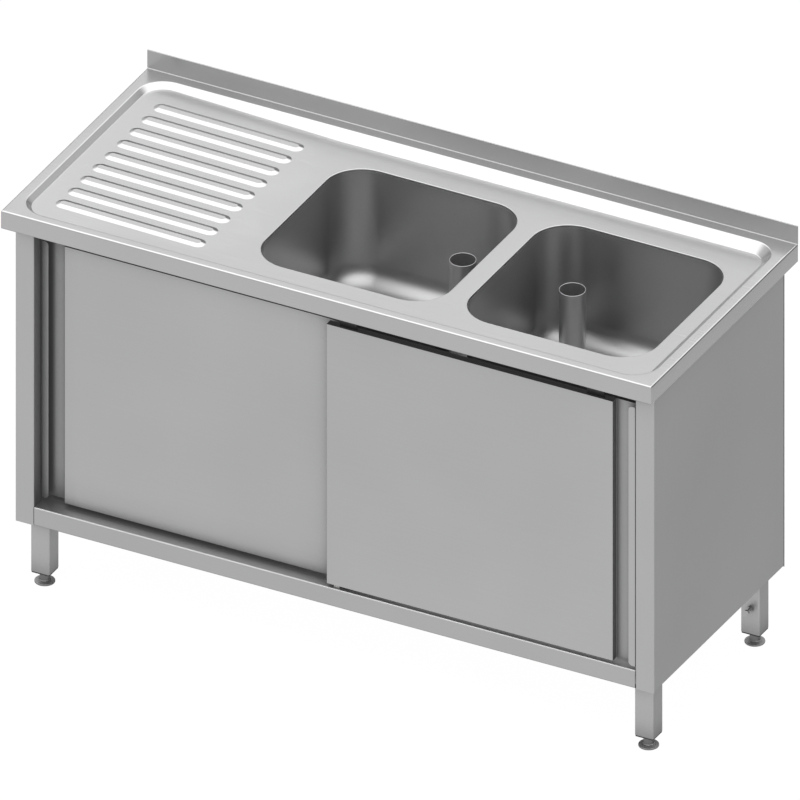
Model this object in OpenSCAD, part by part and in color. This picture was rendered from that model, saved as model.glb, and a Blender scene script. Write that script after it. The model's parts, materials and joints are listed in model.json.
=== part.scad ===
// Sink cabinet with two bowls, a ribbed drainer and two sliding doors.
// Millimetres. The origin is on the floor under the middle of the worktop, the front faces -Y.

/* [Worktop] */
// Width of the worktop
top_w = 1400; // [1360:10:1500]
// Depth of the worktop, front to back
top_d = 600; // [590:5:650]
// Height of the working surface above the floor
top_z = 854; // [849:1:874]
// Thickness of the worktop sheet
top_t = 1.2; // [1:0.1:1.5]
// Height of the folded apron round the worktop
apron_h = 40; // [36:1:50]
// Width of the inward fold along the foot of the apron
apron_fold = 10; // [7:0.5:11]
// Height of the rear upstand above the working surface
upstand_h = 40; // [20:5:100]
// Thickness of the hemmed upstand
upstand_t = 2.4; // [2:0.1:4]
// Radius of the cove where the upstand meets the rim
cove_r = 3; // [2:0.5:8]
// Outer radius of the folded worktop edges
edge_r = 3; // [2:0.5:4]

/* [Pressed pan] */
// Width of the flat rim along the front
rim_front = 20; // [16:1:24]
// Width of the flat rim at each side
rim_side = 22; // [18:1:26]
// Width of the flat rim along the upstand
rim_rear = 27; // [22:1:34]
// Depth of the pan beside the bowls
pan_depth = 18; // [14:1:20]
// Corner radius of the pan in plan, at the rim
pan_r = 55; // [40:1:70]
// Rise of the drainer floor from the bowls to the far wall of the pan
drainer_rise = 8; // [4:0.5:10]
// Level strip between the drainer slope and the first bowl
drainer_level = 40; // [30:1:60]

/* [Drainer beads] */
// Number of raised beads
bead_n = 9; // [5:1:9]
// Distance between bead centres
bead_pitch = 50; // [46:1:52]
// Length of a bead
bead_l = 312; // [200:1:330]
// Width of a bead at its foot
bead_w = 32; // [26:1:36]
// Width of a bead across its flat top
bead_top = 12.5; // [8:0.5:16]
// Height of a bead
bead_rise = 3.7; // [3:0.1:4.5]
// Distance of the middle bead forward of the worktop's centre line
bead_forward = 5.5; // [4:0.5:8]
// Distance from the end of the worktop to the beads
bead_end = 80; // [70:1:90]

/* [Bowls] */
// Inner width and depth of each bowl in plan
bowl_w = 400; // [370:1:404]
// Corner radius of the bowls in plan
bowl_r = 75; // [60:1:90]
// Depth of the bowls below the pan
bowl_depth = 250; // [200:5:300]
// Radius between the bowl walls and the bowl floor
bowl_floor_r = 45; // [30:1:50]
// Thickness of the bowl sheet
bowl_t = 1; // [0.8:0.1:1.2]
// Width of the flange that is welded under the pan
bowl_flange = 11; // [8:0.5:11]
// Gap between the two bowl openings
bowl_gap = 44; // [40:1:60]
// Distance from the end of the worktop to the nearer bowl
bowl_end = 74.5; // [72:0.5:90]
// Distance of the bowls forward of the worktop's centre line
bowl_forward = 7.5; // [5:0.5:9]

/* [Drains and standpipes] */
// Distance of each drain from the inner walls of its bowl
drain_inset = 96; // [92:1:110]
// Outer diameter of the threaded drain tail
tail_d = 59.6; // [59:0.1:61]
// Wall of the drain tail
tail_wall = 5; // [4:0.5:6]
// Length of the drain tail below the bowl
tail_l = 62; // [50:1:80]
// Diameter of the drain flange inside the bowl
drain_flange_d = 86; // [80:1:90]
// Thickness of the drain flange
drain_flange_t = 2.5; // [2:0.5:4]
// Depth of the seat that takes the standpipe
seat_depth = 24; // [18:1:30]
// Thickness of the rubber drain gaskets
gasket_t = 2; // [1:0.5:3]
// Thickness of the nut under the bowl
drain_nut_t = 10; // [8:1:14]
// Outer diameter of the standpipes
pipe_d = 52; // [50:0.5:52]
// Wall of the standpipes
pipe_wall = 1.5; // [1:0.25:2]
// Distance from the worktop down to the top of a standpipe
pipe_below = 99; // [80:1:150]

/* [Cabinet body] */
// Thickness of the body sheet
body_t = 1; // [0.8:0.1:1.2]
// Distance from the worktop edge in to the body at each side
body_side = 12.5; // [12:0.5:18]
// Distance from the worktop edge back to the body at the front
body_front = 35; // [34:0.5:38]
// Distance from the worktop edge in to the body at the back
body_rear = 32; // [20:1:40]
// Height of the underside of the body above the floor
body_z = 151; // [149:1:152]
// Height by which the side sheets end above the foot of the front flanges
side_up = 3.5; // [0:0.5:5]
// Width of the front flanges of the body
flange_w = 40; // [38:1:44]
// Depth of the fold behind the side flanges
flange_fold = 30; // [27:0.5:30]
// Outer radius of the folds in the body sheets
fold_r = 3; // [1.6:0.1:3.5]
// Width of the pipework cut-out in the back panel
cutout_w = 760; // [400:10:900]
// Height of the pipework cut-out in the back panel
cutout_h = 260; // [150:10:300]
// Height of the cut-out above the bottom shelf
cutout_up = 180; // [120:10:200]

/* [Sliding doors] */
// Height of the outer door
door_h = 575; // [572:1:577]
// Height by which the inner door is shorter, so that it passes behind the apron
inner_short = 5.5; // [3:0.5:7]
// Thickness of the doors
door_t = 16; // [16:0.5:17]
// Thickness of the door sheets
door_sheet = 1; // [0.8:0.1:1.2]
// Outer radius of the folds in the door sheets
door_fold_r = 2; // [1.6:0.1:2.5]
// Overlap of the two closed doors
door_overlap = 38; // [30:1:60]
// Gap between the shelf and the outer door
door_gap = 7; // [6:0.5:8]
// Distance of the outer door behind the front flanges
door_back = 3; // [2:0.5:3.5]
// Distance between the planes of the two doors
lane_pitch = 26; // [26:0.5:26.5]
// Clearance between a closed door and the side flange
door_end = 1.2; // [1:0.1:2]
// Width of the finger pull at the end of a door
pull_w = 49; // [40:1:60]
// Width of the lip that the fingers hook behind
lip_w = 15; // [10:1:18]
// Corner radius of the lip's free edge
lip_r = 8; // [4:0.5:9]
// Length of travel of each door
door_travel = 570; // [400:5:580]

/* [Track and rollers] */
// Gap from the doors up to the track
track_gap = 19; // [18:0.5:20]
// Thickness of the track sheet
track_t = 1.5; // [1.2:0.1:1.8]
// Height of the track
track_h = 26; // [25:0.5:28]
// Width of the slot in each lane of the track
slot_w = 11; // [10:0.5:12]
// Distance of each lane's centre behind the centre of its door
lane_back = 3; // [2.5:0.25:3]
// Diameter of the nylon rollers
roller_d = 20; // [18:0.5:21]
// Width of each roller
roller_w = 7; // [6:0.25:7.5]
// Diameter of the roller axles
axle_d = 6; // [5:0.5:8]
// Width of the hangers
hanger_w = 36; // [30:1:44]
// Thickness of the hanger plates
hanger_t = 3; // [2.5:0.25:3]
// Distance from the end of a door to the middle of its hanger
hanger_in = 42; // [34:1:60]

/* [Legs and feet] */
// Width of the square leg tube
leg_w = 40; // [38:1:42]
// Wall of the leg tube
leg_wall = 1.5; // [1.2:0.1:2]
// Distance of the legs from each end of the worktop, to their centre
leg_end = 50; // [48:0.5:54]
// Distance of the legs from the front and rear edges, to their centre
leg_edge = 85; // [85:0.5:90]
// Distance by which the rear legs stand nearer to their edge
rear_leg_back = 3; // [0:0.5:6]
// Height of the leg tube's lower end above the floor
leg_z = 28.5; // [22:0.5:36]
// Diameter of the foot
foot_d = 40; // [36:1:50]
// Diameter of the foot's stem
stem_d = 12; // [10:0.5:16]
// Length of the stem inside the leg
stem_l = 55; // [45:1:70]
// Height of the earth bolt above the floor
earth_z = 84.5; // [70:0.5:110]

/* [Hidden] */
$fn = 64;
// A little extra length, so that cuts pass right through
over = 1;
// Clearance between pieces that slide past each other
slide_gap = 0.3;
// Radial clearance of a wheel on its axle
axle_play = 0.05;
// Clearances in diameter: nuts on their threads, and holes round bolts and drain tails
thread_gap = 0.1;
hole_gap = 1;
// Small bevel on turned pieces
bevel = 1.5;

// Pan and drainer levels
pan_z = top_z - pan_depth;
pan_under = pan_z - top_t;
pan_w = top_w - 2 * rim_side;
pan_d = top_d - rim_front - rim_rear;
pan_y = (rim_front - rim_rear) / 2;
// Bowls: one is next to the right end of the worktop, the other a gap further left
bowl_y = -bowl_forward;
bowl_right_x = top_w / 2 - bowl_end - bowl_w / 2;
bowl_left_x = bowl_right_x - bowl_w - bowl_gap;
bowl_floor_z = pan_z - bowl_depth;
level_x = bowl_left_x - bowl_w / 2 - drainer_level;
slope_run = level_x + pan_w / 2;
drainer_angle = atan(drainer_rise / slope_run);
bead_x = -top_w / 2 + bead_end + bead_l / 2;
function floor_z(x) = pan_z + max(0, level_x - x) * tan(drainer_angle);
// Drains stand towards the strip between the bowls and towards the back
drain_left_x = bowl_left_x + bowl_w / 2 - drain_inset;
drain_right_x = bowl_right_x - bowl_w / 2 + drain_inset;
drain_y = bowl_y + bowl_w / 2 - drain_inset;
drain_top_z = bowl_floor_z + gasket_t + drain_flange_t;
throat_r = pipe_d / 2 + 2;
pipe_top_z = top_z - pipe_below;
pipe_foot_z = drain_top_z - seat_depth + 2;
seal_flange_t = 4;
seal_flange_w = 5;
gasket_d = drain_flange_d - 6;
drain_nut_across = drain_flange_d - 8;
// Groove where the thread of the tail runs out, and its distance below the nut
runout = 3;
// Body planes
side_x = top_w / 2 - body_side;
front_y = -top_d / 2 + body_front;
back_y = top_d / 2 - body_rear;
open_x = side_x - flange_w;
shelf_z = body_z + flange_w;
// Doors and lanes
door_z = shelf_z + door_gap;
door_top = door_z + door_h;
inner_up = 1.7;
inner_z = door_z + inner_up;
inner_h = door_h - inner_short;
door_w = open_x - door_end + door_overlap / 2;
outer_y = front_y + door_back;
inner_y = outer_y + lane_pitch;
outer_lane = outer_y + door_t / 2 + lane_back;
inner_lane = outer_lane + lane_pitch;
track_z = door_top + track_gap;
track_top = track_z + track_h;
axle_z = track_z + track_t + slide_gap + roller_d / 2;
wheel_in = hanger_t / 2 + 0.4;
axle_head_t = 1.2;
axle_head_d = axle_d + 3;
// Section of a wheel: rim, hub and the shallow dish between them
rim_w = 2.5;
rim_bevel = 0.6;
hub_w = 2;
dish = 1;
axle_half = wheel_in + roller_w + 0.3 + axle_head_t;
groove_y = door_t / 2;
groove_w = 6;
guide_w = 11;
guide_up = 8;
guide_foot = 2;
hanger_down = 24;
hanger_head = 8;
hanger_under = 2;
hanger_hole_in = 8;
hanger_hole_down = hanger_down / 2 + 1;
core_gap = 1;
core_up = guide_up + 6;
core_down = 4;
stop_l = 18;
stop_h = 18;
// Rails under the worktop, with their studs and screws
rail_front = front_y + 0.5;
rail_rear = bowl_y - bowl_w / 2 - bowl_t - bowl_flange - 1.5;
rail_lip = 12;
rear_rail_y = bowl_y + bowl_w / 2 + bowl_t + bowl_flange + 4;
rear_rail_h = 30;
front_stud_y = (rail_front + rail_rear) / 2;
rear_stud_y = rear_rail_y + 20;
stud_n = 5;
stud_in = 40;
stud_tail = 9;
stud_nut_t = 5;
stud_nut_across = 10;
screw_d = 4;
screw_n = 6;
screw_in = 60;
screw_l = 8;
screw_y = rail_front + rail_lip / 2;
underlay_t = 12;
underlay_in = 8;
underlay_gap = 0.2;
// Body details
side_flange = 16;
seam_gap = 0.8;
shelf_return = 15;
shelf_upturn = 20;
shelf_drop = 25;
cutout_r = 12;
stiff_w = 60;
stiff_h = 30;
stiff_foot = 15;
// Legs
leg_x = top_w / 2 - leg_end;
leg_y = top_d / 2 - leg_edge;
function leg_move(sy) = sy > 0 ? rear_leg_back : 0;
leg_plate_t = 3;
leg_plate_d = 84;
leg_plate_out = 28;
leg_plate_in = 1;
leg_plate_gap = 0.5;
bolt_edge = 12;
bolt_row = 35;
bolt_d = 8;
bolt_nut_t = 6.5;
bolt_across = 13;
bolt_head_t = 5.3;
bolt_tail = 1.5;
stud_d = 6;
insert_t = 3;
insert_l = 28;
foot_rim = 3.5;
foot_dome = 6;
foot_neck_w = 4;
foot_edge = 1;
foot_room = 2.5;
// Earth bolt on the front of the rear right leg
earth_d = 6;
earth_out = 19;
earth_across = 10;
earth_head_t = 4;
earth_tail = 4;
earth_washer_d = 12;
earth_washer_t = 1.2;
earth_x = leg_x + 1.5;
earth_face = leg_y + rear_leg_back - leg_w / 2;

steel = "#b9bcbe";
satin = "#a9adb0";
dark = "#3a3c3e";
nylon = "#d9dadb";
rubber_grey = "#4a4b4d";
board = "#8f8577";

// Outlines and solids that several pieces share
module rounded_rect(w, d, r) {
    square([w - 2 * r, d], center = true);
    square([w, d - 2 * r], center = true);
    for (sx = [-1, 1], sy = [-1, 1])
        translate([sx * (w / 2 - r), sy * (d / 2 - r)])
            circle(r);
}

module plate(w, d, r, h) {
    linear_extrude(h)
        rounded_rect(w, d, r);
}

// Extrusions along X and along Y of an outline whose second axis is height
module along_x(l) {
    rotate([90, 0, 90])
        linear_extrude(l, center = true)
            children();
}

// Turns a sheet drawn upright to lie along X, with its middle at x = 0
module lengthwise(l) {
    rotate([90, 0, 90])
        translate([0, 0, -l / 2])
            children();
}

module along_y(l) {
    rotate([90, 0, 0])
        linear_extrude(l, center = true)
            children();
}

// Sheet of a given length, folded at right angles along a middle line, with a radius at every fold
module folded(line, t, r, l) {
    mid_r = r - t / 2;
    last = len(line) - 1;
    for (i = [0 : last - 1]) {
        a = line[i];
        b = line[i + 1];
        u = (b - a) / norm(b - a);
        n = [-u[1], u[0]] * t / 2;
        p = a + (i == 0 ? 0 : mid_r) * u;
        q = b - (i == last - 1 ? 0 : mid_r) * u;
        linear_extrude(l)
            polygon([p + n, q + n, q - n, p - n]);
    }
    for (i = [1 : 1 : last - 1]) {
        u = (line[i] - line[i - 1]) / norm(line[i] - line[i - 1]);
        v = (line[i + 1] - line[i]) / norm(line[i + 1] - line[i]);
        c = line[i] - mid_r * u + mid_r * v;
        linear_extrude(l)
            intersection() {
                translate(c)
                    difference() {
                        circle(r);
                        circle(r - t);
                    }
                polygon([c, c + 2 * r * u, c + 2 * r * u - 2 * r * v, c - 2 * r * v]);
            }
    }
}

module hexagon(across, h) {
    cylinder(d = across / cos(30), h = h, $fn = 6);
}

module washer(outer, inner, h) {
    difference() {
        cylinder(d = outer, h = h);
        translate([0, 0, -over])
            cylinder(d = inner, h = h + 2 * over);
    }
}

// Worktop: folded edges, a pan with walls at 45 degrees and raised beads
module recess(grow, drop) {
    w = pan_w + 2 * grow;
    d = pan_d + 2 * grow;
    r = pan_r + grow;
    deep = pan_depth + drop;
    translate([0, pan_y, top_z - deep]) {
        for (sx = [-1, 1], sy = [-1, 1])
            translate([sx * (w / 2 - r), sy * (d / 2 - r), 0])
                cylinder(h = deep, r1 = r - deep, r2 = r);
        along_x(w - 2 * r)
            polygon([[-d / 2 + deep, 0], [d / 2 - deep, 0], [d / 2, deep], [-d / 2, deep]]);
        along_y(d - 2 * r)
            polygon([[-w / 2 + deep, 0], [w / 2 - deep, 0], [w / 2, deep], [-w / 2, deep]]);
    }
}

// The space above the drainer slope and the level floor, lowered by a sheet thickness
module above_floor(drop) {
    along_y(top_d)
        polygon([
            [-top_w / 2, floor_z(-top_w / 2) - drop], [level_x, pan_z - drop],
            [top_w / 2, pan_z - drop], [top_w / 2, top_z], [-top_w / 2, top_z]
        ]);
}

module beads(drop) {
    r = bead_w / 2;
    foot = 2 * top_t;
    low = r + foot * (r - bead_top / 2) / bead_rise;
    translate([bead_x, -bead_forward, floor_z(bead_x) - drop])
        rotate([0, drainer_angle, 0])
            for (i = [0 : bead_n - 1])
                translate([0, (i - (bead_n - 1) / 2) * bead_pitch, -foot]) {
                    for (s = [-1, 1])
                        translate([s * (bead_l / 2 - r), 0, 0])
                            cylinder(h = bead_rise + foot, r1 = low, r2 = bead_top / 2);
                    along_x(bead_l - 2 * r)
                        polygon([
                            [-low, 0], [low, 0],
                            [bead_top / 2, bead_rise + foot], [-bead_top / 2, bead_rise + foot]
                        ]);
                }
}

module bead_window(drop, h) {
    translate([bead_x, -bead_forward, floor_z(bead_x) - drop])
        rotate([0, drainer_angle, 0])
            translate([-bead_l / 2 - bead_w, -pan_d / 2, 0])
                cube([bead_l + 2 * bead_w, pan_d, h]);
}

module edge_block(inset, r, drop) {
    w = top_w - 2 * inset;
    z0 = top_z - apron_h;
    h = apron_h - drop;
    intersection() {
        along_y(top_d)
            translate([0, z0])
                difference() {
                    translate([-w / 2, 0])
                        square([w, h]);
                    for (s = [-1, 1])
                        translate([s * (w / 2 - r), h - r])
                            difference() {
                                translate([s > 0 ? 0 : -r, 0])
                                    square(r);
                                circle(r);
                            }
                }
        along_x(top_w)
            translate([0, z0])
                difference() {
                    translate([-top_d / 2 + inset, 0])
                        square([top_d - 2 * inset, h]);
                    translate([-top_d / 2 + inset + r, h - r])
                        difference() {
                            translate([-r, 0])
                                square(r);
                            circle(r);
                        }
                }
    }
}

module upstand() {
    along_x(top_w)
        difference() {
            union() {
                translate([top_d / 2 - upstand_t, top_z - top_t])
                    square([upstand_t, upstand_h + top_t]);
                translate([top_d / 2 - upstand_t - cove_r, top_z - top_t / 2])
                    square([cove_r, cove_r + top_t / 2]);
            }
            translate([top_d / 2 - upstand_t - cove_r, top_z + cove_r])
                circle(cove_r);
        }
}

module apron_folds() {
    in_w = top_w - 2 * apron_fold;
    in_d = top_d - 2 * apron_fold;
    translate([0, 0, top_z - apron_h])
        difference() {
            translate([-top_w / 2 + top_t / 2, -top_d / 2 + top_t / 2, 0])
                cube([top_w - top_t, top_d - top_t, top_t]);
            translate([-in_w / 2, -in_d / 2, -over])
                cube([in_w, in_d, top_t + 2 * over]);
        }
}

module worktop() {
    color(steel)
        difference() {
            union() {
                difference() {
                    edge_block(0, edge_r, 0);
                    difference() {
                        translate([0, 0, -over])
                            edge_block(top_t, edge_r - top_t, top_t - over);
                        intersection() {
                            recess(top_t * sqrt(2), top_t);
                            above_floor(top_t);
                        }
                    }
                }
                apron_folds();
                upstand();
            }
            difference() {
                intersection() {
                    recess(0, 0);
                    above_floor(0);
                }
                intersection() {
                    beads(0);
                    bead_window(over, bead_rise + 2 * over);
                }
            }
            intersection() {
                beads(top_t);
                bead_window(top_t + over, bead_rise + over);
            }
            for (x = [bowl_left_x, bowl_right_x])
                translate([x, bowl_y, pan_under - over])
                    plate(bowl_w, bowl_w, bowl_r, top_t + 2 * over);
        }
}

// Board that stiffens and quietens the drainer
module drainer_underlay() {
    x0 = -pan_w / 2 + pan_depth + underlay_in;
    x1 = level_x - underlay_in / 2;
    y0 = rail_rear + underlay_in;
    y1 = rear_rail_y - underlay_in;
    mid = (x0 + x1) / 2;
    color(board)
        translate([mid, y0, floor_z(mid) - top_t - underlay_gap])
            rotate([0, drainer_angle, 0])
                translate([(x0 - x1) / 2, 0, -underlay_t])
                    cube([x1 - x0, y1 - y0, underlay_t]);
}

// Deep-drawn bowl: a rounded square with a large radius into the floor, its mouth at z = 0
module bowl_form(w, r, h, fr) {
    for (sx = [-1, 1], sy = [-1, 1])
        translate([sx * (w / 2 - r), sy * (w / 2 - r), 0])
            rotate_extrude()
                intersection() {
                    translate([0, -h])
                        square([r, h]);
                    union() {
                        translate([0, -h + fr])
                            square([r, h - fr]);
                        translate([0, -h])
                            square([r - fr, h]);
                        translate([r - fr, -h + fr])
                            circle(fr);
                    }
                }
    along_x(w - 2 * r)
        bowl_span(w, h, fr);
    along_y(w - 2 * r)
        bowl_span(w, h, fr);
}

module bowl_span(w, h, fr) {
    translate([-w / 2, -h + fr])
        square([w, h - fr]);
    translate([-w / 2 + fr, -h])
        square([w - 2 * fr, h]);
    for (s = [-1, 1])
        translate([s * (w / 2 - fr), -h + fr])
            circle(fr);
}

module bowl(x, drain_x) {
    h = pan_under - bowl_floor_z;
    rim = bowl_t + bowl_flange;
    color(satin)
        difference() {
            translate([x, bowl_y, pan_under])
                difference() {
                    union() {
                        bowl_form(bowl_w + 2 * bowl_t, bowl_r + bowl_t, h + bowl_t, bowl_floor_r + bowl_t);
                        translate([0, 0, -bowl_t])
                            plate(bowl_w + 2 * rim, bowl_w + 2 * rim, bowl_r + rim, bowl_t);
                    }
                    translate([0, 0, over])
                        bowl_form(bowl_w, bowl_r, h + over, bowl_floor_r);
                }
            translate([drain_x, drain_y, bowl_floor_z - bowl_t - over])
                cylinder(d = tail_d + hole_gap, h = bowl_t + 2 * over);
        }
}

module bowl_left() {
    bowl(bowl_left_x, drain_left_x);
}

module bowl_right() {
    bowl(bowl_right_x, drain_right_x);
}

// Drain: a flange inside the bowl, a seat for the standpipe and a threaded tail below
module drain_body(x) {
    tail_r = tail_d / 2;
    flange_r = drain_flange_d / 2;
    under = -drain_flange_t - gasket_t - bowl_t;
    groove = under - gasket_t - drain_nut_t - runout;
    low = under - tail_l;
    color(satin)
        translate([x, drain_y, drain_top_z])
            rotate_extrude()
                polygon([
                    [throat_r + 1, 0], [flange_r - bevel, 0], [flange_r, -bevel], [flange_r, -drain_flange_t],
                    [tail_r, -drain_flange_t], [tail_r, groove], [tail_r - 1, groove],
                    [tail_r - 1, groove - runout], [tail_r, groove - runout], [tail_r, low],
                    [tail_r - tail_wall, low], [tail_r - tail_wall, -seat_depth - 4],
                    [throat_r, -seat_depth], [throat_r, -1]
                ]);
}

module drain_body_left() {
    drain_body(drain_left_x);
}

module drain_body_right() {
    drain_body(drain_right_x);
}

module drain_gaskets() {
    color(rubber_grey)
        for (x = [drain_left_x, drain_right_x], z = [bowl_floor_z, bowl_floor_z - bowl_t - gasket_t])
            translate([x, drain_y, z])
                washer(gasket_d, tail_d + hole_gap, gasket_t);
}

module drain_nuts() {
    color(satin)
        for (x = [drain_left_x, drain_right_x])
            translate([x, drain_y, bowl_floor_z - bowl_t - gasket_t - drain_nut_t])
                difference() {
                    hexagon(drain_nut_across, drain_nut_t);
                    translate([0, 0, -over])
                        cylinder(d = tail_d + 2 * thread_gap, h = drain_nut_t + 2 * over);
                }
}

// Standpipe that lifts out of the drain, with the seal on its foot
module standpipe(x) {
    color(satin)
        translate([x, drain_y, pipe_foot_z])
            washer(pipe_d, pipe_d - 2 * pipe_wall, pipe_top_z - pipe_foot_z);
}

module standpipe_left() {
    standpipe(drain_left_x);
}

module standpipe_right() {
    standpipe(drain_right_x);
}

module pipe_seal(x) {
    r = pipe_d / 2;
    neck = throat_r - slide_gap;
    rest = drain_top_z + slide_gap - pipe_foot_z;
    color(rubber_grey)
        translate([x, drain_y, pipe_foot_z])
            rotate_extrude()
                polygon([
                    [r, 0], [neck - 1, 0], [neck, bevel], [neck, rest], [throat_r + seal_flange_w, rest],
                    [throat_r + seal_flange_w, rest + seal_flange_t / 2], [r, rest + seal_flange_t]
                ]);
}

module pipe_seal_left() {
    pipe_seal(drain_left_x);
}

module pipe_seal_right() {
    pipe_seal(drain_right_x);
}

// Side panels: a sheet with a wide front flange folded back behind, and narrow rear and top flanges
module side_panel(s) {
    t = body_t;
    x = side_x - t / 2;
    line = [
        [side_x - side_flange, back_y - 1.5 * t], [x, back_y - 1.5 * t], [x, front_y + t / 2],
        [open_x + t / 2, front_y + t / 2], [open_x + t / 2, front_y + flange_fold]
    ];
    color(steel)
        mirror([s > 0 ? 0 : 1, 0, 0])
            difference() {
                union() {
                    translate([0, 0, body_z])
                        folded(line, t, fold_r, pan_under - body_z);
                    translate([side_x - side_flange, front_y + fold_r, pan_under - t])
                        cube([side_flange - t / 2, back_y - front_y - 2 * t - fold_r, t]);
                }
                translate([side_x - side_flange - over, front_y + fold_r, body_z - over])
                    cube([side_flange + 2 * over, top_d, side_up + over]);
            }
}

module side_panel_left() {
    side_panel(-1);
}

module side_panel_right() {
    side_panel(1);
}

module back_panel() {
    h = pan_under - body_z;
    cut_z = shelf_z + cutout_up - body_z;
    color(steel)
        difference() {
            translate([-side_x, back_y - body_t, body_z])
                cube([2 * side_x, body_t, h]);
            translate([(bowl_left_x + bowl_right_x) / 2, back_y - body_t / 2, body_z + cut_z + cutout_h / 2])
                rotate([90, 0, 0])
                    translate([0, 0, -body_t])
                        plate(cutout_w, cutout_h, cutout_r, 2 * body_t);
        }
}

// Bottom shelf: a tray with a deep front flange, notched behind the side flanges
module bottom_shelf() {
    t = body_t;
    notch_y = front_y + flange_fold + 1;
    line = [
        [front_y + shelf_return, body_z + t / 2], [front_y + t / 2, body_z + t / 2],
        [front_y + t / 2, shelf_z - t / 2], [back_y - 1.5 * t, shelf_z - t / 2],
        [back_y - 1.5 * t, shelf_z + shelf_upturn]
    ];
    color(steel)
        difference() {
            union() {
                lengthwise(2 * (open_x - seam_gap))
                    folded(line, t, fold_r, 2 * (open_x - seam_gap));
                for (s = [-1, 1]) {
                    translate([s > 0 ? open_x - 2 * seam_gap : -side_x + t, notch_y, shelf_z - t])
                        cube([side_x - t - open_x + 2 * seam_gap, back_y - t - fold_r - notch_y, t]);
                    translate([s > 0 ? side_x - 2 * t : -side_x + t, notch_y, shelf_z - shelf_drop])
                        cube([t, back_y - t - fold_r - notch_y, shelf_drop - t / 2]);
                }
            }
            at_leg_bolts()
                translate([0, 0, shelf_z - t - over])
                    cylinder(d = bolt_d + hole_gap, h = t + 2 * over);
        }
}

module shelf_stiffener() {
    t = body_t;
    top = shelf_z - body_t;
    line = [
        [-stiff_w / 2 - stiff_foot, top - t / 2], [-stiff_w / 2, top - t / 2],
        [-stiff_w / 2, top - stiff_h + t / 2], [stiff_w / 2, top - stiff_h + t / 2],
        [stiff_w / 2, top - t / 2], [stiff_w / 2 + stiff_foot, top - t / 2]
    ];
    color(satin)
        lengthwise(2 * (leg_x - leg_w))
            folded(line, t, fold_r, 2 * (leg_x - leg_w));
}

// Top rails: channels that carry the worktop; the front one also carries the door track
module front_top_rail() {
    t = body_t;
    low = track_top + t / 2;
    top = pan_under - t / 2;
    line = [
        [rail_front + rail_lip, low], [rail_front + t / 2, low], [rail_front + t / 2, top],
        [rail_rear - t / 2, top], [rail_rear - t / 2, low], [rail_rear - rail_lip, low]
    ];
    color(satin)
        difference() {
            lengthwise(2 * open_x)
                folded(line, t, fold_r, 2 * open_x);
            at_studs([front_stud_y])
                translate([0, 0, pan_under - t - over])
                    cylinder(d = stud_d + hole_gap, h = t + 2 * over);
            at_track_screws()
                translate([0, 0, track_top - over])
                    cylinder(d = screw_d, h = t + 2 * over);
        }
}

module rear_top_rail() {
    t = body_t;
    top = pan_under - t / 2;
    y1 = back_y - 2 * body_t - t / 2;
    line = [
        [rear_rail_y + t / 2, pan_under - rear_rail_h], [rear_rail_y + t / 2, top], [y1, top],
        [y1, pan_under - rear_rail_h]
    ];
    color(satin)
        difference() {
            lengthwise(2 * (side_x - side_flange))
                folded(line, t, fold_r, 2 * (side_x - side_flange));
            at_studs([rear_stud_y])
                translate([0, 0, pan_under - t - over])
                    cylinder(d = stud_d + hole_gap, h = t + 2 * over);
        }
}

// Studs welded under the worktop, and the nuts that pull it down on the rails
module at_studs(rows) {
    for (i = [0 : stud_n - 1], y = rows)
        translate([-open_x + stud_in + i * (2 * open_x - 2 * stud_in) / (stud_n - 1), y, 0])
            children();
}

module worktop_studs() {
    color(satin)
        for (i = [0 : stud_n - 1], y = [front_stud_y, rear_stud_y]) {
            x = -open_x + stud_in + i * (2 * open_x - 2 * stud_in) / (stud_n - 1);
            low = pan_under - body_t - stud_tail;
            translate([x, y, low])
                cylinder(d = stud_d, h = floor_z(x + stud_d / 2) - top_t - low);
        }
}

module worktop_nuts() {
    color(satin)
        at_studs([front_stud_y, rear_stud_y])
            translate([0, 0, pan_under - body_t - stud_nut_t])
                difference() {
                    hexagon(stud_nut_across, stud_nut_t);
                    translate([0, 0, -over])
                        cylinder(d = stud_d + thread_gap, h = stud_nut_t + 2 * over);
                }
}

// Double door track: two lanes side by side, each open below through a slot
module door_track() {
    lane_w = lane_pitch - track_t;
    y0 = outer_lane - lane_w / 2 - track_t;
    total = 2 * lane_pitch + track_t;
    lip = (lane_w - slot_w) / 2;
    color(satin)
        difference() {
            along_x(2 * open_x)
                translate([y0, track_z]) {
                    translate([0, track_h - track_t])
                        square([total, track_t]);
                    for (i = [0 : 2])
                        translate([i * lane_pitch, 0])
                            square([track_t, track_h]);
                    for (i = [0, 1], far = [0, 1])
                        translate([track_t + i * lane_pitch + far * (lane_w - lip), 0])
                            square([lip, track_t]);
                }
            at_track_screws()
                translate([0, 0, track_top - track_t])
                    countersink();
        }
}

module countersink() {
    cylinder(h = track_t, d1 = screw_d + 2 * track_t, d2 = screw_d);
}

module at_track_screws() {
    for (i = [0 : screw_n - 1])
        translate([-open_x + screw_in + i * (2 * open_x - 2 * screw_in) / (screw_n - 1), screw_y, 0])
            children();
}

module track_screws() {
    color(satin)
        at_track_screws()
            translate([0, 0, track_top - track_t]) {
                countersink();
                translate([0, 0, track_t])
                    cylinder(d = screw_d, h = screw_l);
            }
}

// Rubber stops: each lane has one at the closed end and one at the open end of the travel
module track_stops() {
    lane_w = lane_pitch - track_t;
    near = door_w - pull_w - hanger_in + hanger_w / 2 - door_overlap / 2 + slide_gap;
    far = -door_overlap / 2 + hanger_in - hanger_w / 2 - door_travel - slide_gap;
    color(rubber_grey)
        for (lane = [0, 1], x = [near, far - stop_l])
            mirror([lane, 0, 0])
                translate([x, outer_lane + lane * lane_pitch - lane_w / 2, track_z + track_t])
                    cube([stop_l, lane_w, stop_h]);
}

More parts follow.
